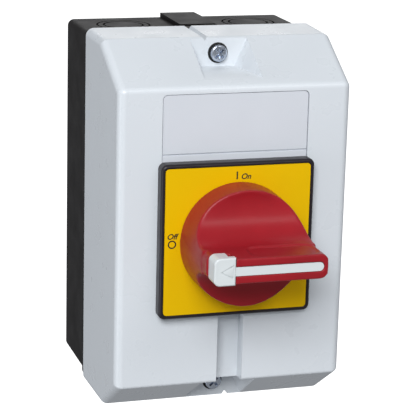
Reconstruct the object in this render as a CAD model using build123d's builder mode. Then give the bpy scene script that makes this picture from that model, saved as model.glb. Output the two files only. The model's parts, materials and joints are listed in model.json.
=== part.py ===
from build123d import *
import os

# Enclosed rotary isolator switch for a wall: a dark moulded base, a light grey cover, a padlockable
# red handle on a yellow legend plate, and a stacked three-pole rotary switch inside.
#
# Frame: millimetres, +Z up, +X to the right as seen from the front, the front faces -Y.
# The wall is the plane y = 0 and the origin is the middle of the back face.

# ---------------------------------------------------------------- driving dimensions

# Enclosure
COVER_WIDTH_REAR = 90.0
COVER_WIDTH_FRONT = 88.3
COVER_TOP = 70.5
SPLIT_Y = -37.0
FRONT_Y = -85.0
TOP_SLOPE_START_Y = -59.0
TOP_SLOPE_END_Z = 55.9
BOTTOM_SLOPE_START_Y = -64.0
BOTTOM_SLOPE_END_Z = -56.6
WALL = 2.5
CAVITY_WIDTH = 83.8

COVER_SIDE_RADIUS = 3.0
COVER_TOP_EDGE_RADIUS = 2.6
COVER_EDGE_RADIUS = 1.5

BASE_WIDTH = 88.0
BASE_HEIGHT = 136.4
BASE_CORNER = 2.5
BASE_EDGE_RADIUS = 1.4
FLANGE_WIDTH = 89.2
FLANGE_HEIGHT = 139.4
FLANGE_DEPTH = 3.6
FLANGE_CORNER = 2.8
BASE_CAVITY_WIDTH = 82.0
BASE_CAVITY_HEIGHT = 130.4
BASE_CAVITY_CORNER = 1.5
BASE_FLOOR = 2.8

# Gasket groove in the rim of the base: outer and inner width and height
RIM_GROOVE_OUTER = (86.6, 136.6)
RIM_GROOVE_INNER = (83.8, 132.6)
RIM_GROOVE_DEPTH = 1.8
RIM_GASKET_GAP = 0.1

WALL_HOLE_X = 36.0
WALL_HOLE_Z = 56.0
WALL_HOLE_RADIUS = 2.5
COLLAR_RADIUS = 5.0
COLLAR_END_Y = -5.0

# Ribs on the floor of the base
RIB_X = 33.5
RIB_THICKNESS = 1.2
RIB_INNER_Z = 8.0
RIB_OUTER_Z = 48.0
RIB_END_Y = -5.0

# Raised centre pads and cable knock-outs on the top and bottom of the base
PAD_HEIGHT = 1.6
PAD_LENGTH = 29.0
PAD_UPRIGHT_X = 5.9
PAD_SLOPE_TOP_X = 8.2
PAD_SLOPE_FOOT_X = 11.4
KNOCKOUT_X = 25.5
KNOCKOUT_Y = -17.5
KNOCKOUT_RADIUS = 10.6
KNOCKOUT_STEP = 2.6
KNOCKOUT_LINE = 0.7

# Cover screws
COVER_SCREW_Z = 64.0
PILLAR_RADIUS = 4.1
PILLAR_BORE_RADIUS = 2.2
PILLAR_BORE_REAR_Y = SPLIT_Y + 16.0
SCREW_INSERT_RADIUS = 3.0
SCREW_INSERT_REAR_Y = SPLIT_Y + 12.0
SCREW_HEAD_RADIUS = 3.15
SCREW_HEAD_HEIGHT = 2.4
SCREW_HEAD_EDGE = 0.6
SCREW_CROSS = 2.2
SCREW_RADIUS = 2.0
SCREW_SINK = 0.8
SCREW_RECESS_RADIUS = 3.9
WASHER_FRONT = 0.1
SCREW_POST_RADIUS = 4.4

# Screw pockets: side of the cover, depth of the flat floor, height of the ledge at the floor and
# its height at the front
POCKETS = (
    (1, -60.0, 59.0, 58.0),
    (-1, -64.0, 58.2, 56.8),
)
POCKET_HALF_WIDTH = 11.4
POCKET_WALL_RUN_Y = 0.2355
POCKET_WALL_RUN_Z = 0.4364
POCKET_SKIN = 2.2
DRAIN_X = 5.2
DRAIN_HALF_WIDTH = 1.96
DRAIN_DEPTH = 1.9
RUNNING_GAP = 0.06
PILLAR_END_Y = -34.8

# Front groove and marker recess
GROOVE_HALF_WIDTH = 5.0
GROOVE_DEPTH = 6.0
GROOVE_TOP_Z = -26.0
GROOVE_END_Z = -62.0
MARKER_WIDTH = 55.6
MARKER_TOP = 53.8
MARKER_BOTTOM = 31.8
MARKER_RECESS_BOTTOM = 26.5
MARKER_DEPTH = 1.2
MARKER_CORNER = 1.8
INSERT_THICKNESS = 0.9
INSERT_GAP = 0.25
INSERT_LINE = 0.5
INSERT_LINE_DEPTH = 0.6

# Front plate
PLATE_SIZE = 58.4
PLATE_CORNER = 2.4
PLATE_THICKNESS = 5.0
PLATE_BEVEL = 0.7
LEGEND_SIZE = 55.4
LEGEND_CORNER = 1.4
LEGEND_THICKNESS = 0.8
BUSH_RADIUS = 11.0
BUSH_FLANGE_RADIUS = 12.6
BUSH_FLANGE_THICKNESS = 2.2
BUSH_END_Y = -75.0
GASKET_OUTER_RADIUS = 15.6
GASKET_INNER_RADIUS = 13.4
GASKET_THICKNESS = 1.0
NUT_RADIUS = 14.5
NUT_THICKNESS = 3.5

# Handle
HANDLE_REST_GAP = 0.2
HANDLE_HEIGHT = 38.8
HANDLE_RADIUS_REAR = 21.95
HANDLE_RADIUS_FRONT = 21.2
GRIP_HALF_WIDTH = 4.5
GRIP_CORNER = 2.6
GRIP_CORNER_DEPTH = 13.0
FINGER_RECESS_X = 7.0
FINGER_RECESS_LENGTH = 25.0
FINGER_RECESS_REAR_Y = -114.6
FINGER_RECESS_FRONT_Y = -126.8
FINGER_RECESS_DEPTH = 0.6
FINGER_RECESS_CORNER = 4.0
SCOOP_RADIUS = 12.8
SCOOP_CENTRE_HEIGHT = 24.8
SCOOP_REAR_NARROWING = 1.3
HUB_RADIUS = 8.0
HUB_END_Y = -73.0
SEAL_Y = -82.0
SEAL_WIDTH = 1.8
SEAL_INNER_RADIUS = 6.6
RING_Y = -74.4
RING_WIDTH = 1.0
RING_INNER_RADIUS = 6.8
RING_OUTER_RADIUS = 10.2
SHAFT_SIDE = 5.0
SOCKET_SIDE = 5.08
SHAFT_REAR_Y = -46.0
SHAFT_FRONT_Y = -96.5
SOCKET_FRONT_Y = -98.0

# Padlock slider in the left end of the grip
NOTCH_X = -12.6
NOTCH_DEPTH = 7.2
SLIDER_END_X = -20.6
SLIDER_HALF_WIDTH = 5.0
SLIDER_CORNER = 2.2
SLIDER_TAIL_X = -14.9
SLIDER_CAP = 2.6
STRIP_HALF_WIDTH = 1.6
STRIP_DEPTH = 1.6
STRIP_END_X = 19.6
TONGUE_DEPTH = 7.0
TONGUE_END_X = -0.6
EYE_RADIUS = 2.2
EYE_X = -6.1
EYE_DEPTH = 3.9
SLIDE_GAP = 0.15

# Switch body: decks stacked along Y, with one pole at the front face of each of the first three
SWITCH_HALF_WIDTH = 24.0
SWITCH_HALF_HEIGHT = 31.0
SWITCH_REAR_Y = -13.3
DECK_SPLITS = (-22.0, -31.0, -40.0)
SWITCH_FRONT_Y = -56.0
CHAMBER_RADIUS = 15.6
CHAMBER_REAR_Y = -16.0
TERMINAL_XS = (-15.0, 0.0, 15.0)
TERMINAL_Z = 25.5
TERMINAL_SCREW_RADIUS = 1.5
TERMINAL_HEAD_RADIUS = 2.9
CLAMP_HALF_WIDTH = 3.6
CLAMP_HALF_LENGTH = 3.4
CLAMP_THICKNESS = 1.2
WIRE_POCKET_HALF_WIDTH = 4.6
WIRE_POCKET_DEPTH = 6.0
DRIVER_CHANNEL_RADIUS = 3.4
BUSBAR_HALF_WIDTH = 3.5
BUSBAR_THICKNESS = 1.2
BODY_SCREW_X = 20.0
BODY_SCREW_RADIUS = 1.5
BODY_SCREW_HEAD_RADIUS = 2.7
BODY_SCREW_SINK = 2.4
BLADE_LENGTH = 29.0
BLADE_WIDTH = 8.0
BLADE_THICKNESS = 1.0
BLADE_GAP = 0.05
ROTOR_RADIUS = 7.5
DETENT_RADIUS = 9.2
DETENT_Y = (-46.6, -51.6)
DETENT_NOTCH_RADIUS = 2.6
DETENT_NOTCH_OFFSET = 0.9
DETENT_SPRING_THICKNESS = 0.6
DETENT_SPRING_WIDTH = 4.2
REAR_JOURNAL_RADIUS = 3.5
FRONT_JOURNAL_RADIUS = 6.0

# Mounting rail
RAIL_HALF_HEIGHT = 17.5
RAIL_HALF_LENGTH = 36.0
RAIL_REAR_Y = -5.8
RAIL_DEPTH = 7.5
RAIL_THICKNESS = 1.0
RAIL_LIP = 5.0
RAIL_SCREW_X = 30.0
PEDESTAL_RADIUS = 5.0
PILOT_END_Y = -3.4

# Rail latch: the guide on the switch foot and the sliding latch
GUIDE_OUTER_X = 10.0
GUIDE_INNER_X = 7.0
GUIDE_BOTTOM_Z = -30.5
GUIDE_TOP_Z = -19.2
LATCH_HALF_WIDTH = 6.8
LATCH_REAR_Y = -9.6
LATCH_STEP_Y = -12.1
LATCH_FRONT_Y = -13.15

# Service terminals for earth and neutral
SERVICE_TERMINALS = (("earth_terminal", 22.0), ("neutral_terminal", -22.0))
SERVICE_Z = -47.0
SERVICE_HALF_WIDTH = 7.0
SERVICE_HALF_HEIGHT = 6.0
SERVICE_PAD_Y = -6.0
SERVICE_PLATE_Y = -7.0
SERVICE_FRONT_Y = -17.0
SERVICE_BLOCK_HALF = 5.0
SERVICE_SCREW_RADIUS = 1.5
SERVICE_HEAD_RADIUS = 3.2
WIRE_HOLE_RADIUS = 1.6
WIRE_HOLE_OFFSET = 2.9
WIRE_HOLE_Y = -11.0

# Heads and cross recesses of the small screws
SMALL_HEAD_HEIGHT = 2.4
CROSS_DEPTH = 1.3
CROSS_HALF_WIDTH = 0.45

PLATE_FRONT_Y = FRONT_Y - PLATE_THICKNESS
BUSH_FRONT_Y = PLATE_FRONT_Y + LEGEND_THICKNESS
HANDLE_REAR_Y = PLATE_FRONT_Y - HANDLE_REST_GAP
HANDLE_FRONT_Y = PLATE_FRONT_Y - HANDLE_HEIGHT

os.makedirs("parts", exist_ok=True)


# ---------------------------------------------------------------- helpers

def block(x0, x1, y0, y1, z0, z1, mode=Mode.ADD):
    """A box between two corners, inside the current part."""
    with Locations(((x0 + x1) / 2, (y0 + y1) / 2, (z0 + z1) / 2)):
        Box(abs(x1 - x0), abs(y1 - y0), abs(z1 - z0), mode=mode)


def rod(x, z, radius, y0, y1, mode=Mode.ADD):
    """A cylinder along Y between two depths, inside the current part."""
    with Locations(Location((x, (y0 + y1) / 2, z), (90, 0, 0))):
        Cylinder(radius, abs(y1 - y0), mode=mode)


def rod_along_z(x, y, radius, z0, z1, mode=Mode.ADD):
    """A cylinder along Z between two heights, inside the current part."""
    with Locations((x, y, (z0 + z1) / 2)):
        Cylinder(radius, abs(z1 - z0), mode=mode)


def front_plane(y):
    """The plane at depth y that faces the front: its x is +X, its y is +Z."""
    return Plane((0, y, 0), x_dir=(1, 0, 0), z_dir=(0, -1, 0))


def rounded_slab(width, height, radius, y_rear, y_front, mode=Mode.ADD):
    """A rounded rectangle about the axis, between two depths."""
    with BuildSketch(front_plane(y_rear)) as outline:
        RectangleRounded(width, height, radius)
    extrude(outline.sketch, amount=y_rear - y_front, mode=mode)


def save(part, name):
    part.label = name
    export_step(part, f"parts/{name}.step")


def driver_cross(x, z, y_face, size):
    """Cuts a cross recess for a driver into a screw head whose face is at y_face."""
    y_end = y_face + CROSS_DEPTH
    block(x - size, x + size, y_face, y_end, z - CROSS_HALF_WIDTH, z + CROSS_HALF_WIDTH, Mode.SUBTRACT)
    block(x - CROSS_HALF_WIDTH, x + CROSS_HALF_WIDTH, y_face, y_end, z - size, z + size, Mode.SUBTRACT)


# ---------------------------------------------------------------- enclosure base

with BuildPart() as rear_base:
    rounded_slab(BASE_WIDTH, BASE_HEIGHT, BASE_CORNER, 0, SPLIT_Y + FLANGE_DEPTH)
    fillet(rear_base.faces().sort_by(Axis.Y)[-1].edges(), BASE_EDGE_RADIUS)
    rounded_slab(FLANGE_WIDTH, FLANGE_HEIGHT, FLANGE_CORNER, SPLIT_Y + FLANGE_DEPTH, SPLIT_Y)
    # Groove for the gasket in the rim
    groove_floor_y = SPLIT_Y + RIM_GROOVE_DEPTH
    rounded_slab(*RIM_GROOVE_OUTER, 2.0, groove_floor_y, SPLIT_Y, Mode.SUBTRACT)
    rounded_slab(*RIM_GROOVE_INNER, 1.6, groove_floor_y, SPLIT_Y)
    # Raised centre pads on the top and the bottom, one side upright and one side sloped
    for side in (1, -1):
        outer_z = side * BASE_HEIGHT / 2
        with BuildSketch(front_plane(0)):
            with BuildLine():
                Polyline(
                    (-side * PAD_UPRIGHT_X, outer_z - side * 1.0),
                    (-side * PAD_UPRIGHT_X, outer_z + side * PAD_HEIGHT),
                    (side * PAD_SLOPE_TOP_X, outer_z + side * PAD_HEIGHT),
                    (side * PAD_SLOPE_FOOT_X, outer_z),
                    (side * PAD_SLOPE_FOOT_X, outer_z - side * 1.0),
                    close=True,
                )
            make_face()
        extrude(amount=PAD_LENGTH)
    rounded_slab(BASE_CAVITY_WIDTH, BASE_CAVITY_HEIGHT, BASE_CAVITY_CORNER, -BASE_FLOOR, SPLIT_Y,
                 Mode.SUBTRACT)
    # Two-size knock-out rings for cable entries
    for side in (1, -1):
        for knockout_x in (-KNOCKOUT_X, KNOCKOUT_X):
            outer_z = side * BASE_HEIGHT / 2
            for ring_radius in (KNOCKOUT_RADIUS, KNOCKOUT_RADIUS - KNOCKOUT_STEP):
                with BuildSketch(Plane.XY.offset(outer_z - side * KNOCKOUT_LINE)):
                    with Locations((knockout_x, KNOCKOUT_Y)):
                        Circle(ring_radius)
                        Circle(ring_radius - KNOCKOUT_LINE, mode=Mode.SUBTRACT)
                extrude(amount=side * (KNOCKOUT_LINE + 0.5), mode=Mode.SUBTRACT)
    # Pillars for the cover screws
    for screw_z in (COVER_SCREW_Z, -COVER_SCREW_Z):
        rod(0, screw_z, PILLAR_RADIUS, -1.0, PILLAR_END_Y)
        rod(0, screw_z, SCREW_INSERT_RADIUS, SCREW_INSERT_REAR_Y, SPLIT_Y - 1.0, Mode.SUBTRACT)
        rod(0, screw_z, PILLAR_BORE_RADIUS, PILLAR_BORE_REAR_Y, SPLIT_Y - 1.0, Mode.SUBTRACT)
    # Wall-screw holes with raised collars
    for hole_x in (-WALL_HOLE_X, WALL_HOLE_X):
        for hole_z in (-WALL_HOLE_Z, WALL_HOLE_Z):
            rod(hole_x, hole_z, COLLAR_RADIUS, -1.0, COLLAR_END_Y)
            rod(hole_x, hole_z, WALL_HOLE_RADIUS, 1.0, COLLAR_END_Y - 1.0, Mode.SUBTRACT)
    # Rail pedestals and terminal pedestals
    for rail_x in (-RAIL_SCREW_X, RAIL_SCREW_X):
        rod(rail_x, 0, PEDESTAL_RADIUS, -1.0, RAIL_REAR_Y)
        rod(rail_x, 0, BODY_SCREW_RADIUS, PILOT_END_Y, RAIL_REAR_Y - 1.0, Mode.SUBTRACT)
    for _, terminal_x in SERVICE_TERMINALS:
        block(terminal_x - SERVICE_HALF_WIDTH, terminal_x + SERVICE_HALF_WIDTH, -1.0, SERVICE_PAD_Y,
              SERVICE_Z - SERVICE_HALF_HEIGHT, SERVICE_Z + SERVICE_HALF_HEIGHT)
    # Stiffening ribs on the floor
    for rib_x in (-RIB_X, RIB_X):
        for side in (1, -1):
            block(rib_x - RIB_THICKNESS / 2, rib_x + RIB_THICKNESS / 2, -1.0, RIB_END_Y,
                  side * RIB_INNER_Z, side * RIB_OUTER_Z)
save(rear_base.part, "rear_base")

with BuildPart() as cover_gasket:
    gasket_outer = [size - 2 * RIM_GASKET_GAP for size in RIM_GROOVE_OUTER]
    gasket_inner = [size + 2 * RIM_GASKET_GAP for size in RIM_GROOVE_INNER]
    rounded_slab(*gasket_outer, 1.9, SPLIT_Y + RIM_GROOVE_DEPTH, SPLIT_Y)
    rounded_slab(*gasket_inner, 1.5, SPLIT_Y + RIM_GROOVE_DEPTH, SPLIT_Y, Mode.SUBTRACT)
save(cover_gasket.part, "cover_gasket")

with BuildPart() as screw_inserts:
    for screw_z in (COVER_SCREW_Z, -COVER_SCREW_Z):
        rod(0, screw_z, SCREW_INSERT_RADIUS, SCREW_INSERT_REAR_Y, PILLAR_END_Y)
        rod(0, screw_z, SCREW_RADIUS + RUNNING_GAP, SCREW_INSERT_REAR_Y + 1.0, SPLIT_Y, Mode.SUBTRACT)
save(screw_inserts.part, "screw_inserts")


# ---------------------------------------------------------------- enclosure cover

COVER_PROFILE = (
    (SPLIT_Y, COVER_TOP),
    (TOP_SLOPE_START_Y, COVER_TOP - 0.5),
    (FRONT_Y, TOP_SLOPE_END_Z),
    (FRONT_Y, BOTTOM_SLOPE_END_Z),
    (BOTTOM_SLOPE_START_Y, -COVER_TOP + 0.3),
    (SPLIT_Y, -COVER_TOP),
)
CAVITY_PROFILE = (
    (SPLIT_Y + 1.0, COVER_TOP - WALL),
    (TOP_SLOPE_START_Y + 0.6, COVER_TOP - WALL - 0.5),
    (FRONT_Y + WALL, TOP_SLOPE_END_Z - 1.6),
    (FRONT_Y + WALL, BOTTOM_SLOPE_END_Z + 1.6),
    (BOTTOM_SLOPE_START_Y + 0.6, -COVER_TOP + WALL + 0.3),
    (SPLIT_Y + 1.0, -COVER_TOP + WALL),
)


def pocket_outline(side, y, ledge_z, margin):
    """The outline of a screw pocket at depth y: a trapezoid that is wider towards the outer end."""
    floor_y = POCKETS[0][1] if side > 0 else POCKETS[1][1]
    outer_z = 78.0
    depth_run = POCKET_WALL_RUN_Y * (floor_y - y)
    widths = []
    for z in (ledge_z, outer_z):
        height_run = POCKET_WALL_RUN_Z * (z - 70.0)
        widths.append(POCKET_HALF_WIDTH + margin + depth_run + height_run)
    with BuildSketch(front_plane(y)) as outline:
        with BuildLine():
            Polyline(
                (-widths[0], side * ledge_z),
                (widths[0], side * ledge_z),
                (widths[1], side * outer_z),
                (-widths[1], side * outer_z),
                close=True,
            )
        make_face()
    return outline.sketch


def pocket_solid(side, floor_y, ledge_floor, ledge_front, margin, mode):
    """A screw pocket from its floor out through the slope, grown by margin on every side."""
    rear = pocket_outline(side, floor_y + margin, ledge_floor - margin, margin)
    front_y = FRONT_Y - 2.0
    front = pocket_outline(side, front_y, ledge_front - margin, margin)
    loft(sections=[rear, front], mode=mode)


with BuildPart() as cover_cavity:
    with BuildSketch(Plane.YZ):
        with BuildLine():
            Polyline(*CAVITY_PROFILE, close=True)
        make_face()
    extrude(amount=CAVITY_WIDTH / 2, both=True)
    fillet(cover_cavity.edges().group_by(Axis.Y)[0], 1.5)
    for side, floor_y, ledge_floor, ledge_front in POCKETS:
        pocket_solid(side, floor_y, ledge_floor, ledge_front, POCKET_SKIN, Mode.SUBTRACT)
        rod(0, side * COVER_SCREW_Z, SCREW_POST_RADIUS, SPLIT_Y + 2.0, floor_y, Mode.SUBTRACT)
    groove_skin_x = GROOVE_HALF_WIDTH + POCKET_SKIN
    block(-groove_skin_x, groove_skin_x, FRONT_Y + GROOVE_DEPTH + POCKET_SKIN, FRONT_Y,
          GROOVE_END_Z + 2.0, GROOVE_TOP_Z + 2.0, Mode.SUBTRACT)

with BuildPart() as front_cover:
    with BuildSketch(Plane.YZ):
        with BuildLine():
            Polyline(*COVER_PROFILE, close=True)
        make_face()
    extrude(amount=COVER_WIDTH_REAR, both=True)
    with BuildSketch(Plane.XY):
        with BuildLine():
            Polyline(
                (-COVER_WIDTH_REAR / 2, SPLIT_Y),
                (COVER_WIDTH_REAR / 2, SPLIT_Y),
                (COVER_WIDTH_FRONT / 2, FRONT_Y),
                (-COVER_WIDTH_FRONT / 2, FRONT_Y),
                close=True,
            )
        make_face()
    extrude(amount=100.0, both=True, mode=Mode.INTERSECT)
    side_edges = front_cover.edges().filter_by(
        lambda e: abs(e.center().X) > CAVITY_WIDTH / 2 and e.center().Y < SPLIT_Y - 1
    )
    fillet(side_edges, COVER_SIDE_RADIUS)
    cross_edges = front_cover.edges().filter_by(Axis.X).filter_by(lambda e: e.center().Y < SPLIT_Y - 1)
    upper_front_edge = cross_edges.filter_by(lambda e: e.center().Y < -80 and e.center().Z > 0)
    fillet(upper_front_edge, COVER_TOP_EDGE_RADIUS)
    cross_edges = front_cover.edges().filter_by(Axis.X).filter_by(
        lambda e: e.center().Y < SPLIT_Y - 1 and (e.center().Z < 0 or e.center().Y > -70)
    )
    fillet(cross_edges, COVER_EDGE_RADIUS)
    add(cover_cavity.part, mode=Mode.SUBTRACT)
    for side, floor_y, ledge_floor, ledge_front in POCKETS:
        pocket_solid(side, floor_y, ledge_floor, ledge_front, 0.0, Mode.SUBTRACT)
        rod(0, side * COVER_SCREW_Z, SCREW_RECESS_RADIUS, floor_y + SCREW_SINK, floor_y - 1.0, Mode.SUBTRACT)
        rod(0, side * COVER_SCREW_Z, SCREW_RADIUS + 0.1, SPLIT_Y + 3.0, floor_y, Mode.SUBTRACT)
    # Vertical groove below the plate, open at the bottom into the lower screw pocket
    block(-GROOVE_HALF_WIDTH, GROOVE_HALF_WIDTH, FRONT_Y + GROOVE_DEPTH, FRONT_Y - 1,
          GROOVE_END_Z, GROOVE_TOP_Z, Mode.SUBTRACT)
    # Marker recess above the plate
    with BuildSketch(front_plane(FRONT_Y + MARKER_DEPTH)):
        with Locations((0, (MARKER_TOP + MARKER_RECESS_BOTTOM) / 2)):
            RectangleRounded(MARKER_WIDTH, MARKER_TOP - MARKER_RECESS_BOTTOM, MARKER_CORNER)
    extrude(amount=MARKER_DEPTH + 1, mode=Mode.SUBTRACT)
    # Narrow V-shaped drain grooves from the rear edge to the screw pockets
    for side, floor_y, _, _ in POCKETS:
        with BuildSketch(front_plane(SPLIT_Y + 1.0)):
            with BuildLine():
                Polyline(
                    (-side * DRAIN_X, side * (COVER_TOP - DRAIN_DEPTH)),
                    (-side * DRAIN_X - DRAIN_HALF_WIDTH, side * (COVER_TOP + 0.76)),
                    (-side * DRAIN_X + DRAIN_HALF_WIDTH, side * (COVER_TOP + 0.76)),
                    close=True,
                )
            make_face()
        extrude(amount=SPLIT_Y + 1.0 - floor_y + 1.5, mode=Mode.SUBTRACT)
    # Hole for the plate's bush
    rod(0, 0, BUSH_RADIUS, FRONT_Y + WALL + 1, FRONT_Y - 1, Mode.SUBTRACT)
save(front_cover.part, "front_cover")

with BuildPart() as marker_insert:
    insert_rear_y = FRONT_Y + MARKER_DEPTH
    insert_front_y = insert_rear_y - INSERT_THICKNESS
    insert_width = MARKER_WIDTH - 2 * INSERT_GAP
    insert_height = MARKER_TOP - MARKER_RECESS_BOTTOM - 2 * INSERT_GAP
    with BuildSketch(front_plane(insert_rear_y)):
        with Locations((0, (MARKER_TOP + MARKER_RECESS_BOTTOM) / 2)):
            RectangleRounded(insert_width, insert_height, MARKER_CORNER - INSERT_GAP)
    extrude(amount=INSERT_THICKNESS)
    # Break line between the label field and the lower strip
    block(-insert_width, insert_width, insert_front_y + INSERT_LINE_DEPTH, insert_front_y - 1,
          MARKER_BOTTOM - INSERT_LINE, MARKER_BOTTOM, Mode.SUBTRACT)
save(marker_insert.part, "marker_insert")

with BuildPart() as cover_screws:
    for side, floor_y, _, _ in POCKETS:
        z = side * COVER_SCREW_Z
        head_rear = floor_y + WASHER_FRONT
        head_front = head_rear - SCREW_HEAD_HEIGHT
        rod(0, z, SCREW_HEAD_RADIUS, head_rear, head_front)
        rod(0, z, SCREW_RADIUS, SCREW_INSERT_REAR_Y - 2.0, head_rear)
        head_rim = cover_screws.edges().filter_by(lambda e: abs(e.center().Y - head_front) < 0.01)
        fillet(head_rim, SCREW_HEAD_EDGE)
        driver_cross(0, z, head_front, SCREW_CROSS)
save(cover_screws.part, "cover_screws")

with BuildPart() as screw_washers:
    for side, floor_y, _, _ in POCKETS:
        z = side * COVER_SCREW_Z
        rod(0, z, SCREW_RECESS_RADIUS, floor_y + SCREW_SINK, floor_y + WASHER_FRONT)
        rod(0, z, SCREW_RADIUS, floor_y + 1, floor_y - 1, Mode.SUBTRACT)
save(screw_washers.part, "screw_washers")


# ---------------------------------------------------------------- front plate

with BuildPart() as escutcheon_frame:
    rounded_slab(PLATE_SIZE, PLATE_SIZE, PLATE_CORNER, FRONT_Y, PLATE_FRONT_Y)
    chamfer(escutcheon_frame.faces().sort_by(Axis.Y)[0].edges(), PLATE_BEVEL)
    rounded_slab(LEGEND_SIZE, LEGEND_SIZE, LEGEND_CORNER, BUSH_FRONT_Y, PLATE_FRONT_Y - 1, Mode.SUBTRACT)
    # Seat of the bush
    rod(0, 0, BUSH_RADIUS, FRONT_Y + 1, PLATE_FRONT_Y, Mode.SUBTRACT)
    rod(0, 0, BUSH_FLANGE_RADIUS, BUSH_FRONT_Y + BUSH_FLANGE_THICKNESS, PLATE_FRONT_Y, Mode.SUBTRACT)
    with BuildSketch(front_plane(FRONT_Y)):
        Circle(GASKET_OUTER_RADIUS)
        Circle(GASKET_INNER_RADIUS, mode=Mode.SUBTRACT)
    extrude(amount=GASKET_THICKNESS, mode=Mode.SUBTRACT)
save(escutcheon_frame.part, "escutcheon_frame")

with BuildPart() as handle_bush:
    rod(0, 0, BUSH_RADIUS, BUSH_END_Y, BUSH_FRONT_Y)
    rod(0, 0, BUSH_FLANGE_RADIUS, BUSH_FRONT_Y + BUSH_FLANGE_THICKNESS, BUSH_FRONT_Y)
    rod(0, 0, HUB_RADIUS + RUNNING_GAP, BUSH_END_Y + 1, BUSH_FRONT_Y - 1, Mode.SUBTRACT)
save(handle_bush.part, "handle_bush")

with BuildPart() as legend_plate:
    rounded_slab(LEGEND_SIZE - 0.2, LEGEND_SIZE - 0.2, LEGEND_CORNER - 0.1, BUSH_FRONT_Y, PLATE_FRONT_Y)
    rod(0, 0, HUB_RADIUS + 0.6, FRONT_Y, PLATE_FRONT_Y - 1, Mode.SUBTRACT)
save(legend_plate.part, "legend_plate")

with BuildPart() as plate_gasket:
    with BuildSketch(front_plane(FRONT_Y)):
        Circle(GASKET_OUTER_RADIUS)
        Circle(GASKET_INNER_RADIUS, mode=Mode.SUBTRACT)
    extrude(amount=GASKET_THICKNESS)
save(plate_gasket.part, "plate_gasket")

with BuildPart() as fixing_nut:
    with BuildSketch(front_plane(FRONT_Y + WALL + NUT_THICKNESS)):
        RegularPolygon(NUT_RADIUS, 6)
        Circle(BUSH_RADIUS, mode=Mode.SUBTRACT)
    extrude(amount=NUT_THICKNESS)
save(fixing_nut.part, "fixing_nut")


# ---------------------------------------------------------------- handle

with BuildPart() as handle_body:
    with BuildSketch(front_plane(HANDLE_REAR_Y)):
        Circle(HANDLE_RADIUS_REAR)
    with BuildSketch(front_plane(HANDLE_FRONT_Y)):
        Circle(HANDLE_RADIUS_FRONT)
    loft()
    for side in (1, -1):
        # One concave scoop each side of the grip
        centre_z = GRIP_HALF_WIDTH + SCOOP_RADIUS
        scoop_y = PLATE_FRONT_Y - SCOOP_CENTRE_HEIGHT
        with BuildSketch(Plane.YZ):
            with Locations((scoop_y, side * centre_z)):
                Circle(SCOOP_RADIUS)
            with Locations((scoop_y - 15.0, side * (GRIP_HALF_WIDTH + 15.0))):
                Rectangle(30.0, 30.0)
            with Locations((scoop_y, side * (centre_z + 10.0))):
                Rectangle(2 * SCOOP_RADIUS - SCOOP_REAR_NARROWING, 20.0)
        extrude(amount=40.0, both=True, mode=Mode.SUBTRACT)
        # Shallow finger recess in the side of the grip
        with BuildSketch(Plane.XY.offset(side * (GRIP_HALF_WIDTH - FINGER_RECESS_DEPTH))):
            with Locations((FINGER_RECESS_X, (FINGER_RECESS_REAR_Y + FINGER_RECESS_FRONT_Y) / 2)):
                RectangleRounded(FINGER_RECESS_LENGTH, FINGER_RECESS_REAR_Y - FINGER_RECESS_FRONT_Y,
                                 FINGER_RECESS_CORNER)
        extrude(amount=side * 1.5, mode=Mode.SUBTRACT)
    # Rounded corners of the grip bar
    with BuildSketch(front_plane(HANDLE_FRONT_Y + GRIP_CORNER_DEPTH)):
        Rectangle(60.0, 60.0)
        RectangleRounded(2 * HANDLE_RADIUS_FRONT, 2 * GRIP_HALF_WIDTH, GRIP_CORNER, mode=Mode.SUBTRACT)
    extrude(amount=GRIP_CORNER_DEPTH + 1, mode=Mode.SUBTRACT)
    rod(0, 0, HUB_RADIUS, HUB_END_Y, HANDLE_REAR_Y - 1.0)
    # Square socket for the shaft
    block(-SOCKET_SIDE / 2, SOCKET_SIDE / 2, HUB_END_Y + 1, SOCKET_FRONT_Y,
          -SOCKET_SIDE / 2, SOCKET_SIDE / 2, Mode.SUBTRACT)
    # Grooves for the seal and the retaining ring
    for groove_y, groove_width, groove_radius in (
        (SEAL_Y, SEAL_WIDTH, SEAL_INNER_RADIUS),
        (RING_Y, RING_WIDTH, RING_INNER_RADIUS),
    ):
        with BuildSketch(front_plane(groove_y + groove_width / 2)):
            Circle(HUB_RADIUS + 1)
            Circle(groove_radius, mode=Mode.SUBTRACT)
        extrude(amount=groove_width, mode=Mode.SUBTRACT)
    # End notch, indicator groove and tongue pocket for the padlock slider
    block(-30, NOTCH_X, HANDLE_FRONT_Y - 1, HANDLE_FRONT_Y + NOTCH_DEPTH, -10, 10, Mode.SUBTRACT)
    strip_half = STRIP_HALF_WIDTH + SLIDE_GAP
    strip_groove_end = STRIP_END_X + 0.2
    strip_groove_length = strip_groove_end - NOTCH_X + 4
    with BuildSketch(front_plane(HANDLE_FRONT_Y + STRIP_DEPTH + 0.2)):
        with Locations((strip_groove_end - strip_groove_length / 2, 0)):
            SlotOverall(strip_groove_length, 2 * strip_half)
    extrude(amount=STRIP_DEPTH + 2, mode=Mode.SUBTRACT)
    block(NOTCH_X - 1, TONGUE_END_X + 0.4, HANDLE_FRONT_Y - 1, HANDLE_FRONT_Y + NOTCH_DEPTH,
          -strip_half, strip_half, Mode.SUBTRACT)
save(handle_body.part, "handle_body")

with BuildPart() as hub_seal:
    with BuildSketch(front_plane(SEAL_Y + SEAL_WIDTH / 2)):
        Circle(HUB_RADIUS)
        Circle(SEAL_INNER_RADIUS, mode=Mode.SUBTRACT)
    extrude(amount=SEAL_WIDTH)
save(hub_seal.part, "hub_seal")

with BuildPart() as retaining_ring:
    with BuildSketch(front_plane(RING_Y + RING_WIDTH / 2)):
        Circle(RING_OUTER_RADIUS)
        Circle(RING_INNER_RADIUS, mode=Mode.SUBTRACT)
        with Locations((0, -9)):
            Rectangle(7.0, 8.0, mode=Mode.SUBTRACT)
    extrude(amount=RING_WIDTH)
save(retaining_ring.part, "retaining_ring")

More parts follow.
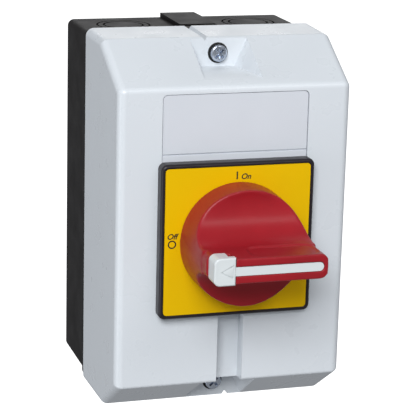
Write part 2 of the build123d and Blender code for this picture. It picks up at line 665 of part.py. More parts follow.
with BuildPart() as padlock_slider:
    block(SLIDER_END_X, NOTCH_X - SLIDE_GAP, HANDLE_FRONT_Y, HANDLE_FRONT_Y + SLIDER_CAP,
          -SLIDER_HALF_WIDTH, SLIDER_HALF_WIDTH)
    block(SLIDER_END_X, SLIDER_TAIL_X, HANDLE_FRONT_Y, HANDLE_FRONT_Y + NOTCH_DEPTH - 0.2,
          -SLIDER_HALF_WIDTH, SLIDER_HALF_WIDTH)
    fillet(padlock_slider.edges().filter_by(Axis.Y).sort_by(Axis.X)[0:2], SLIDER_CORNER)
    fillet(padlock_slider.faces().sort_by(Axis.Y)[0].edges(), 0.6)
    # Tongue inside the grip, and the indicator strip in front of it
    block(SLIDER_TAIL_X - 1, TONGUE_END_X, HANDLE_FRONT_Y + 0.4, HANDLE_FRONT_Y + TONGUE_DEPTH,
          -STRIP_HALF_WIDTH, STRIP_HALF_WIDTH)
    with BuildSketch(front_plane(HANDLE_FRONT_Y + STRIP_DEPTH)):
        with Locations(((NOTCH_X - 2 + STRIP_END_X) / 2, 0)):
            SlotOverall(STRIP_END_X - NOTCH_X + 2, 2 * STRIP_HALF_WIDTH)
    extrude(amount=STRIP_DEPTH - 0.25)
    # Eye for the padlock shackle
    rod_along_z(EYE_X, HANDLE_FRONT_Y + EYE_DEPTH, EYE_RADIUS, -9, 9, Mode.SUBTRACT)
save(padlock_slider.part, "padlock_slider")


# ---------------------------------------------------------------- shaft and rotor

with BuildPart() as drive_shaft:
    block(-SHAFT_SIDE / 2, SHAFT_SIDE / 2, SHAFT_REAR_Y, SHAFT_FRONT_Y, -SHAFT_SIDE / 2, SHAFT_SIDE / 2)
    chamfer(drive_shaft.faces().sort_by(Axis.Y)[0].edges(), 0.6)
save(drive_shaft.part, "drive_shaft")

with BuildPart() as switch_rotor:
    rod(0, 0, ROTOR_RADIUS, CHAMBER_REAR_Y - 0.3, DETENT_Y[0])
    rod(0, 0, REAR_JOURNAL_RADIUS, SWITCH_REAR_Y - 0.4, CHAMBER_REAR_Y - 0.3)
    with BuildSketch(front_plane(DETENT_Y[0])):
        Circle(DETENT_RADIUS)
        with PolarLocations(DETENT_RADIUS + DETENT_NOTCH_OFFSET, 4):
            Circle(DETENT_NOTCH_RADIUS, mode=Mode.SUBTRACT)
    extrude(amount=DETENT_Y[0] - DETENT_Y[1])
    rod(0, 0, FRONT_JOURNAL_RADIUS, DETENT_Y[1], -61.0)
    block(-SHAFT_SIDE / 2, SHAFT_SIDE / 2, SHAFT_REAR_Y, -62.0, -SHAFT_SIDE / 2, SHAFT_SIDE / 2,
          Mode.SUBTRACT)
    for deck_y in DECK_SPLITS:
        block(-10, 10, deck_y - 1.6, deck_y + BUSBAR_THICKNESS + 1.6, -BLADE_WIDTH / 2, BLADE_WIDTH / 2,
              Mode.SUBTRACT)
save(switch_rotor.part, "switch_rotor")

with BuildPart() as contact_bridges:
    for deck_y in DECK_SPLITS:
        front_leaf = deck_y - BLADE_GAP
        rear_leaf = deck_y + BUSBAR_THICKNESS + BLADE_GAP
        block(-BLADE_LENGTH / 2, BLADE_LENGTH / 2, front_leaf, front_leaf - BLADE_THICKNESS,
              -BLADE_WIDTH / 2, BLADE_WIDTH / 2)
        block(-BLADE_LENGTH / 2, BLADE_LENGTH / 2, rear_leaf, rear_leaf + BLADE_THICKNESS,
              -BLADE_WIDTH / 2, BLADE_WIDTH / 2)
        block(-5, 5, front_leaf, rear_leaf, -BLADE_WIDTH / 2, BLADE_WIDTH / 2)
    fillet(contact_bridges.edges().filter_by(Axis.Y).filter_by(lambda e: abs(e.center().X) > 14), 1.5)
save(contact_bridges.part, "contact_bridges")

with BuildPart() as contact_springs:
    for deck_y in DECK_SPLITS:
        for spring_y in (deck_y - BLADE_GAP - BLADE_THICKNESS, deck_y + 1.65 + BLADE_THICKNESS):
            block(-11, 11, spring_y, spring_y - 0.4, -1.8, 1.8)
save(contact_springs.part, "contact_springs")


# ---------------------------------------------------------------- switch body

def busbar_outline(x, side):
    """The flat outline of a fixed contact: contact tongue, cross leg and terminal tab."""
    with Locations((0, side * 14.4)):
        Rectangle(2 * BUSBAR_HALF_WIDTH, 9.6)
    if x:
        with Locations((x / 2, side * 17.4)):
            Rectangle(abs(x), 3.6)
    with Locations((x, side * 22.6)):
        Rectangle(2 * BUSBAR_HALF_WIDTH, 14.0)


def terminal_places(side):
    """Each pole's terminal column and the depth of its deck."""
    return [(x, deck_y, side) for x, deck_y in zip(TERMINAL_XS, DECK_SPLITS)]


DECK_ENDS = (SWITCH_REAR_Y,) + DECK_SPLITS + (SWITCH_FRONT_Y,)
DECK_NAMES = ("switch_foot", "switch_deck_rear", "switch_deck_front", "switch_head")
for deck_index, deck_name in enumerate(DECK_NAMES):
    deck_rear = DECK_ENDS[deck_index]
    deck_front = DECK_ENDS[deck_index + 1]
    with BuildPart() as switch_deck:
        rounded_slab(2 * SWITCH_HALF_WIDTH, 2 * SWITCH_HALF_HEIGHT, 1.6, deck_rear, deck_front)
        # Chamber for the blades
        chamber_front = max(deck_front, DETENT_Y[0])
        chamber_rear = min(deck_rear, CHAMBER_REAR_Y)
        rod(0, 0, CHAMBER_RADIUS, chamber_rear, chamber_front, Mode.SUBTRACT)
        for side in (1, -1):
            for x, pole_y, _ in terminal_places(side):
                # Seat of the fixed contact, and room behind it for the screw's end
                if deck_front == pole_y:
                    with BuildSketch(front_plane(pole_y + BUSBAR_THICKNESS)):
                        busbar_outline(x, side)
                    extrude(amount=BUSBAR_THICKNESS, mode=Mode.SUBTRACT)
                    rod(x, side * TERMINAL_Z, 2.0, pole_y + 5.6, pole_y, Mode.SUBTRACT)
                # Wire pocket in front of it, open at the end
                if deck_rear == pole_y:
                    block(x - WIRE_POCKET_HALF_WIDTH, x + WIRE_POCKET_HALF_WIDTH, pole_y,
                          pole_y - WIRE_POCKET_DEPTH, side * 20.0, side * 32.0, Mode.SUBTRACT)
                # Driver channel to the front
                if deck_front < pole_y:
                    rod(x, side * TERMINAL_Z, DRIVER_CHANNEL_RADIUS, min(pole_y, deck_rear + 1),
                        deck_front - 1, Mode.SUBTRACT)
        # Through holes for the two body screws
        for screw_x in (-BODY_SCREW_X, BODY_SCREW_X):
            rod(screw_x, 0, BODY_SCREW_RADIUS + 0.1, SWITCH_REAR_Y - 1.5, SWITCH_FRONT_Y - 1, Mode.SUBTRACT)
        if deck_name == "switch_foot":
            rod(0, 0, REAR_JOURNAL_RADIUS + RUNNING_GAP, SWITCH_REAR_Y - 0.2, CHAMBER_REAR_Y, Mode.SUBTRACT)
            # Fixed rail hook at the top, and the guide of the sliding latch at the bottom
            block(-16, 16, SWITCH_REAR_Y, -11.0, RAIL_HALF_HEIGHT + 0.2, RAIL_HALF_HEIGHT + 3.4)
            block(-16, 16, -11.0, -12.1, RAIL_HALF_HEIGHT - 1.6, RAIL_HALF_HEIGHT + 3.4)
            guide_y = LATCH_REAR_Y + 0.2
            block(-GUIDE_OUTER_X, -GUIDE_INNER_X, SWITCH_REAR_Y, guide_y, GUIDE_BOTTOM_Z, GUIDE_TOP_Z)
            block(GUIDE_INNER_X, GUIDE_OUTER_X, SWITCH_REAR_Y, guide_y, GUIDE_BOTTOM_Z, GUIDE_TOP_Z)
            block(-GUIDE_OUTER_X, GUIDE_OUTER_X, guide_y, -8.2, GUIDE_BOTTOM_Z, GUIDE_TOP_Z)
        if deck_name == "switch_head":
            # Raised collar, bearing, detent chamber and seats of the two detent springs
            rod(0, 0, 12.5, SWITCH_FRONT_Y, -59.5)
            rod(0, 0, FRONT_JOURNAL_RADIUS + RUNNING_GAP, DETENT_Y[1], -60.0, Mode.SUBTRACT)
            rod(0, 0, DETENT_RADIUS + 0.5, DETENT_Y[0] + 1, DETENT_Y[1] - 0.3, Mode.SUBTRACT)
            for side in (1, -1):
                block(-13, 13, DETENT_Y[0] + 1, DETENT_Y[1] - 0.3, side * 6.0, side * 13.4, Mode.SUBTRACT)
            for screw_x in (-BODY_SCREW_X, BODY_SCREW_X):
                rod(screw_x, 0, BODY_SCREW_HEAD_RADIUS + 0.3, SWITCH_FRONT_Y + BODY_SCREW_SINK,
                    SWITCH_FRONT_Y - 1, Mode.SUBTRACT)
    save(switch_deck.part, deck_name)

for side, group_name in ((1, "line_contacts"), (-1, "load_contacts")):
    with BuildPart() as fixed_contacts:
        for x, pole_y, _ in terminal_places(side):
            with BuildSketch(front_plane(pole_y + BUSBAR_THICKNESS)):
                busbar_outline(x, side)
                with Locations((x, side * TERMINAL_Z)):
                    Circle(TERMINAL_SCREW_RADIUS, mode=Mode.SUBTRACT)
            extrude(amount=BUSBAR_THICKNESS)
    save(fixed_contacts.part, group_name)

with BuildPart() as wire_clamps:
    for side in (1, -1):
        for x, pole_y, _ in terminal_places(side):
            block(x - CLAMP_HALF_WIDTH, x + CLAMP_HALF_WIDTH, pole_y, pole_y - CLAMP_THICKNESS,
                  side * (TERMINAL_Z - CLAMP_HALF_LENGTH), side * (TERMINAL_Z + CLAMP_HALF_LENGTH))
            rod(x, side * TERMINAL_Z, TERMINAL_SCREW_RADIUS, pole_y + 1, pole_y - 2, Mode.SUBTRACT)
save(wire_clamps.part, "wire_clamps")

with BuildPart() as terminal_screws:
    for side in (1, -1):
        for x, pole_y, _ in terminal_places(side):
            head_rear = pole_y - CLAMP_THICKNESS
            head_front = head_rear - SMALL_HEAD_HEIGHT
            rod(x, side * TERMINAL_Z, TERMINAL_HEAD_RADIUS, head_rear, head_front)
            rod(x, side * TERMINAL_Z, TERMINAL_SCREW_RADIUS, pole_y + 4.8, head_rear)
            driver_cross(x, side * TERMINAL_Z, head_front, 2.0)
save(terminal_screws.part, "terminal_screws")

with BuildPart() as body_screws:
    for screw_x in (-BODY_SCREW_X, BODY_SCREW_X):
        head_rear = SWITCH_FRONT_Y + BODY_SCREW_SINK
        head_front = SWITCH_FRONT_Y + 0.2
        rod(screw_x, 0, BODY_SCREW_HEAD_RADIUS, head_rear, head_front)
        rod(screw_x, 0, BODY_SCREW_RADIUS, SWITCH_REAR_Y - 1.5, head_rear)
        driver_cross(screw_x, 0, head_front, 1.9)
save(body_screws.part, "body_screws")

for side, spring_name in ((1, "detent_spring_upper"), (-1, "detent_spring_lower")):
    with BuildPart() as detent_spring:
        with BuildSketch(Plane.XZ.offset(-DETENT_Y[0] + 0.4)):
            with BuildLine():
                spine = Polyline(
                    (-12.6, side * 13.0),
                    (-9.0, side * 10.6),
                    (-2.6, side * 10.4),
                    (0, side * 8.0),
                    (2.6, side * 10.4),
                    (9.0, side * 10.6),
                    (12.6, side * 13.0),
                )
                offset(spine, amount=DETENT_SPRING_THICKNESS / 2, side=Side.BOTH)
            make_face()
        extrude(amount=DETENT_SPRING_WIDTH)
    save(detent_spring.part, spring_name)


# ---------------------------------------------------------------- rail, latch and service terminals

with BuildPart() as mounting_rail:
    rail_front = RAIL_REAR_Y - RAIL_DEPTH
    web = RAIL_HALF_HEIGHT - RAIL_LIP
    block(-RAIL_HALF_LENGTH, RAIL_HALF_LENGTH, RAIL_REAR_Y, RAIL_REAR_Y - RAIL_THICKNESS, -web, web)
    for side in (1, -1):
        inner_z = side * (web - RAIL_THICKNESS)
        block(-RAIL_HALF_LENGTH, RAIL_HALF_LENGTH, RAIL_REAR_Y, rail_front, side * web, inner_z)
        block(-RAIL_HALF_LENGTH, RAIL_HALF_LENGTH, rail_front + RAIL_THICKNESS, rail_front,
              inner_z, side * RAIL_HALF_HEIGHT)
    for rail_x in (-RAIL_SCREW_X, RAIL_SCREW_X):
        rod(rail_x, 0, BODY_SCREW_RADIUS, RAIL_REAR_Y + 1, RAIL_REAR_Y - 2, Mode.SUBTRACT)
save(mounting_rail.part, "mounting_rail")

with BuildPart() as rail_screws:
    for rail_x in (-RAIL_SCREW_X, RAIL_SCREW_X):
        head_rear = RAIL_REAR_Y - RAIL_THICKNESS
        head_front = head_rear - 2.2
        rod(rail_x, 0, 3.0, head_rear, head_front)
        rod(rail_x, 0, BODY_SCREW_RADIUS, PILOT_END_Y, head_rear)
        driver_cross(rail_x, 0, head_front, 2.1)
save(rail_screws.part, "rail_screws")

with BuildPart() as rail_latch:
    block(-LATCH_HALF_WIDTH, LATCH_HALF_WIDTH, LATCH_REAR_Y, LATCH_STEP_Y, -34.5, -16.0)
    block(-LATCH_HALF_WIDTH, LATCH_HALF_WIDTH, LATCH_STEP_Y, LATCH_FRONT_Y, -34.5, -17.7)
    # Pull tab with a slot for a screwdriver
    block(-LATCH_HALF_WIDTH, LATCH_HALF_WIDTH, LATCH_REAR_Y, -16.0, -36.5, -33.0)
    block(-3.0, 3.0, LATCH_REAR_Y + 0.6, -16.5, -35.6, -34.2, Mode.SUBTRACT)
save(rail_latch.part, "rail_latch")

for terminal_name, terminal_x in SERVICE_TERMINALS:
    with BuildPart() as service_terminal:
        block(terminal_x - SERVICE_BLOCK_HALF, terminal_x + SERVICE_BLOCK_HALF, SERVICE_PLATE_Y,
              SERVICE_FRONT_Y, SERVICE_Z - SERVICE_BLOCK_HALF, SERVICE_Z + SERVICE_BLOCK_HALF)
        block(terminal_x - SERVICE_HALF_WIDTH, terminal_x + SERVICE_HALF_WIDTH, SERVICE_PAD_Y,
              SERVICE_PLATE_Y, SERVICE_Z - SERVICE_HALF_HEIGHT, SERVICE_Z + SERVICE_HALF_HEIGHT)
        rod(terminal_x, SERVICE_Z, SERVICE_SCREW_RADIUS, SERVICE_PAD_Y + 1, SERVICE_FRONT_Y - 1,
            Mode.SUBTRACT)
        for wire_x in (terminal_x - WIRE_HOLE_OFFSET, terminal_x + WIRE_HOLE_OFFSET):
            rod_along_z(wire_x, WIRE_HOLE_Y, WIRE_HOLE_RADIUS, SERVICE_Z - 6, SERVICE_Z + 7, Mode.SUBTRACT)
    save(service_terminal.part, terminal_name)

with BuildPart() as service_screws:
    for _, terminal_x in SERVICE_TERMINALS:
        head_front = SERVICE_FRONT_Y - SMALL_HEAD_HEIGHT
        rod(terminal_x, SERVICE_Z, SERVICE_HEAD_RADIUS, SERVICE_FRONT_Y, head_front)
        rod(terminal_x, SERVICE_Z, SERVICE_SCREW_RADIUS, SERVICE_PAD_Y - 0.2, SERVICE_FRONT_Y)
        driver_cross(terminal_x, SERVICE_Z, head_front, 2.2)
save(service_screws.part, "service_screws")
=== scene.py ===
import json
import math
import bmesh
import bpy
import numpy as np
from mathutils import Matrix, Vector


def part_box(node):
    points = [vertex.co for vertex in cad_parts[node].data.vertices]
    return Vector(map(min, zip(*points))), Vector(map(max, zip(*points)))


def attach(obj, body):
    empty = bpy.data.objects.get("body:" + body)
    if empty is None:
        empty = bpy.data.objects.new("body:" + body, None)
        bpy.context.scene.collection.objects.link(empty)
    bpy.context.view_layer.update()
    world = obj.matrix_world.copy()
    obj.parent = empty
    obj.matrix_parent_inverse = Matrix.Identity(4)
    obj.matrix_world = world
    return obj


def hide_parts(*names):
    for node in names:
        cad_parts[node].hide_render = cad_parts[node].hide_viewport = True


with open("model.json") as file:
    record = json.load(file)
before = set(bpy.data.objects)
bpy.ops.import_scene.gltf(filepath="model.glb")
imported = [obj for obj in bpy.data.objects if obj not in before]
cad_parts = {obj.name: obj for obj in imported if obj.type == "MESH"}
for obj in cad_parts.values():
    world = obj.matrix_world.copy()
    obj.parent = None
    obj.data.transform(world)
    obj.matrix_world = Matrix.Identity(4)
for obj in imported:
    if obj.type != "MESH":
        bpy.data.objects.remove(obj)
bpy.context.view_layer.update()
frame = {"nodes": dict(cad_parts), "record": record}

MM = 0.001
scene = bpy.context.scene


# ------------------------------------------------------------------ camera

def add_camera():
    """A camera a little to the left of and above the front, with a long lens and no shift."""
    azimuth = math.radians(-17.22)
    elevation = math.radians(14.97)
    roll = math.radians(1.52)
    distance = 0.696
    target = Vector((0.0007, -0.050, 0.0016))
    back = Vector((
        math.sin(azimuth) * math.cos(elevation),
        -math.cos(azimuth) * math.cos(elevation),
        math.sin(elevation),
    ))
    level_right = (-back).cross(Vector((0, 0, 1))).normalized()
    level_up = level_right.cross(-back)
    right = level_right * math.cos(roll) + level_up * math.sin(roll)
    up = level_up * math.cos(roll) - level_right * math.sin(roll)
    data = bpy.data.cameras.new("camera")
    data.sensor_width = 36.0
    data.lens = 156.15
    data.clip_end = 30.0
    camera = bpy.data.objects.new("camera", data)
    scene.collection.objects.link(camera)
    place = Matrix((right, up, back)).transposed().to_4x4()
    place.translation = target + back * distance
    camera.matrix_world = place
    scene.camera = camera


add_camera()


# ------------------------------------------------------------------ materials

NOISE_LOW = 0.3
NOISE_HIGH = 0.7


class Nodes:
    """A node material in the making: a Principled shader with helpers for its inputs."""

    def __init__(self, name, color, roughness, metallic=0.0, coat=0.0, specular=0.5):
        self.material = bpy.data.materials.new(name)
        self.material.use_nodes = True
        self.tree = self.material.node_tree
        self.shader = self.tree.nodes["Principled BSDF"]
        self.color = color
        self.shader.inputs["Base Color"].default_value = (*color, 1)
        self.shader.inputs["Roughness"].default_value = roughness
        self.shader.inputs["Metallic"].default_value = metallic
        self.shader.inputs["Coat Weight"].default_value = coat
        self.shader.inputs["Coat Roughness"].default_value = 0.12
        self.shader.inputs["Specular IOR Level"].default_value = specular
        self.place = self.add("ShaderNodeTexCoord").outputs["Object"]

    def add(self, kind, **values):
        node = self.tree.nodes.new(kind)
        for key, value in values.items():
            setattr(node, key, value)
        return node

    def link(self, source, target):
        self.tree.links.new(source, target)

    def noise(self, scale, detail=3.0, roughness=0.5, stretch=(1, 1, 1)):
        mapping = self.add("ShaderNodeMapping")
        mapping.inputs["Scale"].default_value = stretch
        self.link(self.place, mapping.inputs["Vector"])
        node = self.add("ShaderNodeTexNoise")
        node.inputs["Scale"].default_value = scale
        node.inputs["Detail"].default_value = detail
        node.inputs["Roughness"].default_value = roughness
        self.link(mapping.outputs["Vector"], node.inputs["Vector"])
        return node.outputs["Fac"]

    def spread(self, value, low, high):
        """Stretches a noise over a range from low to high."""
        node = self.add("ShaderNodeMapRange")
        node.inputs["From Min"].default_value = NOISE_LOW
        node.inputs["From Max"].default_value = NOISE_HIGH
        node.inputs["To Min"].default_value = low
        node.inputs["To Max"].default_value = high
        self.link(value, node.inputs["Value"])
        return node.outputs["Result"]

    def vary_color(self, value, darker, lighter):
        """Mixes the base colour between two factors of itself along a noise."""
        mix = self.add("ShaderNodeMix", data_type="RGBA")
        mix.inputs["A"].default_value = (*[c * darker for c in self.color], 1)
        mix.inputs["B"].default_value = (*[min(1.0, c * lighter) for c in self.color], 1)
        self.link(self.spread(value, 0.0, 1.0), mix.inputs["Factor"])
        self.link(mix.outputs["Result"], self.shader.inputs["Base Color"])

    def vary_roughness(self, value, low, high):
        self.link(self.spread(value, low, high), self.shader.inputs["Roughness"])

    def bump(self, value, strength, distance):
        node = self.add("ShaderNodeBump")
        node.inputs["Strength"].default_value = strength
        node.inputs["Distance"].default_value = distance
        self.link(value, node.inputs["Height"])
        self.link(node.outputs["Normal"], self.shader.inputs["Normal"])


def moulded(name, color, roughness, grain=2600.0, depth=0.00002, coat=0.0, tone=0.03, specular=0.5):
    """Moulded plastic: faint flow tone, slightly uneven gloss and a fine spark-eroded grain."""
    made = Nodes(name, color, roughness, coat=coat, specular=specular)
    made.vary_color(made.noise(38.0, detail=4.0, roughness=0.6), 1 - tone, 1 + tone)
    made.vary_roughness(made.noise(90.0), roughness - 0.05, roughness + 0.06)
    made.bump(made.noise(grain, detail=2.0, roughness=0.6), 0.35, depth)
    return made.material


def metal(name, color, roughness, tint=0.06):
    """Plated or drawn metal: fine drawn lines, patchy gloss and a faint change of tint."""
    made = Nodes(name, color, roughness, metallic=1.0)
    made.vary_color(made.noise(240.0, detail=4.0, roughness=0.6), 1 - tint, 1 + tint)
    made.vary_roughness(made.noise(420.0), roughness - 0.08, roughness + 0.10)
    made.bump(made.noise(900.0, detail=2.0, stretch=(1, 30, 1)), 0.25, 0.00002)
    return made.material


def rubber(name, color):
    """Matt rubber with uneven tone and a coarse surface."""
    made = Nodes(name, color, 0.75, specular=0.3)
    made.vary_color(made.noise(120.0), 0.85, 1.2)
    made.bump(made.noise(1800.0, roughness=0.7), 0.5, 0.00003)
    return made.material


MATERIALS = {
    "base_plastic": moulded(
        "base_plastic", (0.011, 0.0095, 0.0095), 0.50,
        grain=1500.0, depth=0.00005, tone=0.12, specular=0.12,
    ),
    "cover_plastic": moulded(
        "cover_plastic", (0.70, 0.735, 0.775), 0.30,
        grain=420.0, depth=0.000003, tone=0.008, specular=0.45,
    ),
    "marker_plastic": moulded(
        "marker_plastic", (0.66, 0.685, 0.735), 0.42,
        grain=2600.0, depth=0.000015, tone=0.012,
    ),
    "plate_plastic": moulded(
        "plate_plastic", (0.016, 0.012, 0.016), 0.36,
        grain=2400.0, depth=0.00002, tone=0.10, specular=0.35,
    ),
    "legend_yellow": moulded(
        "legend_yellow", (0.80, 0.49, 0.0), 0.45,
        grain=1800.0, depth=0.000010, tone=0.02, specular=0.12,
    ),
    "handle_red": moulded(
        "handle_red", (0.325, 0.0105, 0.0175), 0.34,
        grain=650.0, depth=0.00006, tone=0.12, specular=0.30,
    ),
    "slider_white": moulded(
        "slider_white", (0.70, 0.735, 0.745), 0.34,
        grain=2600.0, depth=0.00001, coat=0.1, tone=0.01,
    ),
    "switch_plastic": moulded(
        "switch_plastic", (0.19, 0.20, 0.21), 0.55,
        grain=1400.0, depth=0.00004, tone=0.10,
    ),
    "rotor_plastic": moulded(
        "rotor_plastic", (0.55, 0.52, 0.46), 0.50,
        grain=1600.0, depth=0.00004, tone=0.06,
    ),
    "seal_rubber": rubber("seal_rubber", (0.018, 0.018, 0.018)),
    "terminal_brass": metal("terminal_brass", (0.80, 0.60, 0.28), 0.30),
    "contact_copper": metal("contact_copper", (0.86, 0.47, 0.33), 0.26),
    "zinc_steel": metal("zinc_steel", (0.60, 0.65, 0.74), 0.24, tint=0.12),
    "spring_steel": metal("spring_steel", (0.45, 0.45, 0.47), 0.30),
}
INK = moulded("printed_ink", (0.012, 0.012, 0.012), 0.45, tone=0.1)
slot_of = {entry["node"]: entry["material_slot"] for entry in frame["record"]["subparts"]}
body_of = {
    node: body
    for body, members in frame["record"]["behaviour"]["bodies"].items()
    for node in members
}


# ------------------------------------------------------------------ mesh helpers

CORNER_DISTANCE = 2e-6
FLAT_ANGLE = 0.6
SHARP_ANGLE = 35


def new_object(name, mesh):
    piece = bpy.data.objects.new(name, mesh)
    scene.collection.objects.link(piece)
    return piece


def mesh_from(build, name):
    """A new mesh of what was built; the build is freed."""
    mesh = bpy.data.meshes.new(name)
    build.to_mesh(mesh)
    build.free()
    return mesh


def smooth_by_angle(mesh, degrees):
    mesh.polygons.foreach_set("use_smooth", [True] * len(mesh.polygons))
    mesh.set_sharp_from_angle(angle=math.radians(degrees))


def baked(piece):
    """Applies the modifiers of a piece to its mesh."""
    bpy.context.view_layer.update()
    graph = bpy.context.evaluated_depsgraph_get()
    mesh = bpy.data.meshes.new_from_object(piece.evaluated_get(graph))
    piece.modifiers.clear()
    piece.data = mesh
    return piece


def clean_copy(node, name):
    """A copy of a CAD node's mesh with its corners joined and its flat faces made whole."""
    mesh = frame["nodes"][node].data.copy()
    build = bmesh.new()
    build.from_mesh(mesh)
    bmesh.ops.remove_doubles(build, verts=build.verts, dist=CORNER_DISTANCE)
    bmesh.ops.dissolve_limit(
        build,
        angle_limit=math.radians(FLAT_ANGLE),
        verts=build.verts,
        edges=build.edges,
        delimit=set(),
    )
    build.to_mesh(mesh)
    build.free()
    if "custom_normal" in mesh.attributes:
        mesh.attributes.remove(mesh.attributes["custom_normal"])
    return new_object(name, mesh)


def evenly_shaded(piece):
    """Smooth shading that keeps flat faces flat and sharp corners sharp."""
    smooth_by_angle(piece.data, SHARP_ANGLE)
    normals = piece.modifiers.new("even_normals", "WEIGHTED_NORMAL")
    normals.keep_sharp = True
    return baked(piece)


def softened(piece, width, segments=3, angle=28.0):
    """Rounds the sharp edges of a piece and shades it smoothly over the roundings."""
    bevel = piece.modifiers.new("soft_edges", "BEVEL")
    bevel.width = width
    bevel.segments = segments
    bevel.limit_method = "ANGLE"
    bevel.angle_limit = math.radians(angle)
    bevel.harden_normals = False
    bevel.miter_outer = "MITER_ARC"
    bevel.use_clamp_overlap = True
    baked(piece)
    return evenly_shaded(piece)


def finish_piece(piece, node):
    """Gives a piece its node's material, slot and body."""
    slot = slot_of[node]
    piece.data.materials.clear()
    piece.data.materials.append(MATERIALS[slot])
    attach(piece, body_of[node])


# ------------------------------------------------------------------ pieces made from the CAD nodes

# The width of the rounded edges, in millimetres.
SOFT_EDGE = {
    "rear_base": 0.35,
    "front_cover": 0.40,
    "marker_insert": 0.15,
    "escutcheon_frame": 0.30,
    "legend_plate": 0.08,
    "padlock_slider": 0.15,
}
DEFAULT_EDGE = 0.12
MADE_APART = ("handle_body", "cover_screws")


def make_plain_pieces():
    """Every node but the handle and the cover's screws, with softened edges."""
    for node in frame["nodes"]:
        if node in MADE_APART:
            continue
        piece = clean_copy(node, node + "_finished")
        softened(piece, SOFT_EDGE.get(node, DEFAULT_EDGE) * MM)
        finish_piece(piece, node)
        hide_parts(node)


make_plain_pieces()


# ------------------------------------------------------------------ handle

VOXEL = 0.3
SMOOTHING_ROUNDS = 14
FACES_KEPT = 0.30
HANDLE_SHARP_ANGLE = 60
RIM_ROUNDING = 0.55
NOTCH_ROUNDING = 0.16
SMALL_ROUNDING = 0.10
GROOVE_HALF_WIDTH = 3.0
GROOVE_DEPTH = 3.2
NOTCH_LENGTH = 9.5
NOTCH_DEPTH = 8.5
NOTCH_HALF_WIDTH = 6.0
HUB_FRONT_Y = -91.5
HANDLE_FRONT_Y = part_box("handle_body")[0][1] / MM
SLIDER_LEFT_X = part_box("padlock_slider")[0][0] / MM
SLIDER_FRONT_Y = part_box("padlock_slider")[0][1] / MM


def masked_smooth(mesh, weight, rounds):
    """Evens out a mesh by moving each point towards its neighbours' mean, by its own weight."""
    count = len(mesh.vertices)
    places = np.empty(count * 3)
    mesh.vertices.foreach_get("co", places)
    places = places.reshape(-1, 3)
    edges = np.empty(len(mesh.edges) * 2, dtype=np.int64)
    mesh.edges.foreach_get("vertices", edges)
    one, two = edges.reshape(-1, 2).T
    degree = np.bincount(one, minlength=count) + np.bincount(two, minlength=count)
    share = weight(places)[:, None]
    for _ in range(rounds):
        total = np.zeros_like(places)
        for axis in range(3):
            total[:, axis] = np.bincount(one, places[two, axis], count)
            total[:, axis] += np.bincount(two, places[one, axis], count)
        places = places + share * (total / degree[:, None] - places)
    mesh.vertices.foreach_set("co", places.ravel())
    mesh.update()


def handle_weight(places):
    """Full rounding on the rim and the scoops; little at the groove, the slider's notch and the hub."""
    x, y, z = places.T / MM
    groove = (np.abs(z) < GROOVE_HALF_WIDTH) & (y < HANDLE_FRONT_Y + GROOVE_DEPTH)
    notch = (
        (x < SLIDER_LEFT_X + NOTCH_LENGTH)
        & (y < HANDLE_FRONT_Y + NOTCH_DEPTH)
        & (np.abs(z) < NOTCH_HALF_WIDTH)
    )
    weight = np.full(len(x), RIM_ROUNDING)
    weight[groove] = SMALL_ROUNDING
    weight[notch] = NOTCH_ROUNDING
    weight[y > HUB_FRONT_Y] = SMALL_ROUNDING
    return weight


def make_handle():
    """The red handle as one flowing moulding, its rim and finger scoops rounded."""
    piece = clean_copy("handle_body", "handle_body_finished")
    remesh = piece.modifiers.new("even_faces", "REMESH")
    remesh.mode = "VOXEL"
    remesh.voxel_size = VOXEL * MM
    baked(piece)
    masked_smooth(piece.data, handle_weight, SMOOTHING_ROUNDS)
    thin = piece.modifiers.new("fewer_faces", "DECIMATE")
    thin.ratio = FACES_KEPT
    baked(piece)
    smooth_by_angle(piece.data, HANDLE_SHARP_ANGLE)
    finish_piece(piece, "handle_body")
    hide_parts("handle_body")


make_handle()


# ------------------------------------------------------------------ engraving on the slider

ARROW_TIP_X = -17.7
ARROW_BACK_X = -14.0
ARROW_HALF_HEIGHT = 2.0
ARROW_LINE = 0.36
ARROW_DEPTH = 0.45
ARROW_CLEARANCE = 1.0


def triangle_tool(grow):
    """A triangular prism through the slider's front face, its outline moved out by grow."""
    build = bmesh.new()
    half_angle = math.atan2(ARROW_HALF_HEIGHT, ARROW_BACK_X - ARROW_TIP_X)
    tip_x = ARROW_TIP_X - grow / math.sin(half_angle)
    back_x = ARROW_BACK_X + grow
    half = math.tan(half_angle) * (back_x - tip_x)
    rings = []
    for y in (SLIDER_FRONT_Y - ARROW_CLEARANCE, SLIDER_FRONT_Y + ARROW_DEPTH):
        rings.append([
            build.verts.new((x * MM, y * MM, z * MM))
            for x, z in ((tip_x, 0.0), (back_x, half), (back_x, -half))
        ])
    build.faces.new(rings[0])
    build.faces.new(rings[1][::-1])
    for step in range(3):
        after = (step + 1) % 3
        build.faces.new((rings[0][step], rings[1][step], rings[1][after], rings[0][after]))
    bmesh.ops.recalc_face_normals(build, faces=build.faces)
    return new_object("arrow_tool", mesh_from(build, "arrow_tool"))


def cut_with(piece, tool):
    """Cuts a tool out of a piece and removes the tool."""
    cut = piece.modifiers.new("cut", "BOOLEAN")
    cut.operation = "DIFFERENCE"
    cut.solver = "EXACT"
    cut.object = tool
    baked(piece)
    bpy.data.objects.remove(tool)


def engrave_slider():
    """An outlined triangle on the slider's cap that points the way it is pulled."""
    groove = triangle_tool(ARROW_LINE)
    cut_with(groove, triangle_tool(0.0))
    piece = bpy.data.objects["padlock_slider_finished"]
    cut_with(piece, groove)
    evenly_shaded(piece)


engrave_slider()


# ------------------------------------------------------------------ printing

